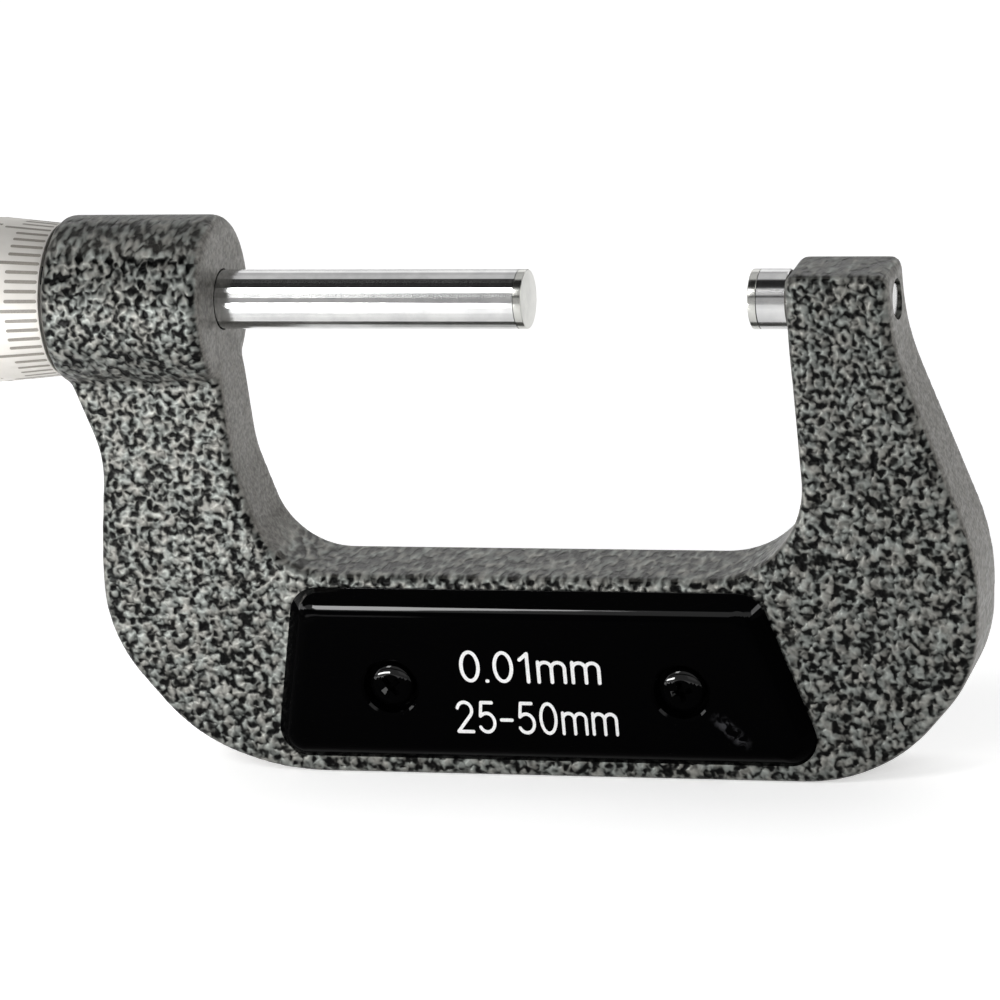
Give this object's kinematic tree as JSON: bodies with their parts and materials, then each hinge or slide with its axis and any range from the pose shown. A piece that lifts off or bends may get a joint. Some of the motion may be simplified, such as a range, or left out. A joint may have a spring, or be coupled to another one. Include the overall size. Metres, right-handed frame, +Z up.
{
  "type": "outside micrometer",
  "caption": "Outside micrometer with a C-shaped painted frame, plates on both sides, a screw-driven spindle, a graduated thimble, a ratchet stop and a spindle lock.",
  "frame": {"origin": "centre of the anvil's measuring face, on the spindle axis", "axes": "+X along the spindle axis, from the thimble to the anvil; +Z up, from the frame's bottom edge to the spindle; -Y out of the front plate"},
  "size_m": [0.1683, 0.0212, 0.063],
  "materials": {
    "frame_paint": "hammertone paint, silver grey with a dark network",
    "plate_plastic": "glossy black moulding",
    "spindle_steel": "ground and lapped",
    "carbide": "lapped hard metal",
    "satin_chrome": "satin chrome",
    "knob_chrome": "bright chrome",
    "inner_steel": "turned steel",
    "spring_steel": "drawn wire",
    "screw_black": "black oxide"
  },
  "bodies": {
    "frame_body": {"frame": "frame_paint", "anvil": "spindle_steel", "anvil_tip": "carbide", "cover_plate_front": "plate_plastic", "cover_plate_rear": "plate_plastic", "plate_screw_front_left": "screw_black", "plate_screw_front_right": "screw_black", "plate_screw_rear_left": "screw_black", "plate_screw_rear_right": "screw_black", "inner_sleeve": "inner_steel", "graduated_sleeve": "satin_chrome", "adjusting_nut": "inner_steel"},
    "carriage": {"spindle_tip": "carbide"},
    "spindle_body": {"spindle": "spindle_steel", "thimble": "satin_chrome", "ratchet_bolt": "inner_steel"},
    "knob_body": {"ratchet_knob": "knob_chrome", "ratchet_spring": "spring_steel", "knob_washer": "screw_black", "knob_screw": "screw_black"},
    "disc_body": {"ratchet_disc": "inner_steel"},
    "lock_body": {"lock_shaft": "inner_steel", "lock_lever": "knob_chrome", "lock_screw": "screw_black"}
  },
  "joints": [
    {"name": "spindle_travel", "type": "slide", "parent": "frame_body", "child": "carriage", "axis": [-1, 0, 0], "range_m": [0, 0.025]},
    {"name": "thimble_turn", "type": "hinge", "parent": "carriage", "child": "spindle_body", "pos_m": [-0.0783, 0, 0], "axis": [-1, 0, 0], "range_deg": [0, 18000]},
    {"name": "ratchet_turn", "type": "hinge", "parent": "spindle_body", "child": "knob_body", "pos_m": [-0.129, 0, 0], "axis": [-1, 0, 0], "continuous": true},
    {"name": "ratchet_disc_lift", "type": "slide", "parent": "knob_body", "child": "disc_body", "axis": [-1, 0, 0], "range_m": [0, 0.0009], "stiffness_N_per_m": 600, "deforming": ["ratchet_spring"]},
    {"name": "lock_turn", "type": "hinge", "parent": "frame_body", "child": "lock_body", "pos_m": [-0.0685, 0, -0.0052], "axis": [0, 1, 0], "range_deg": [0, 55]}
  ],
  "couplings": [
    {"joint": "thimble_turn", "follows": "spindle_travel", "rad_per_m": 12566}
  ]
}
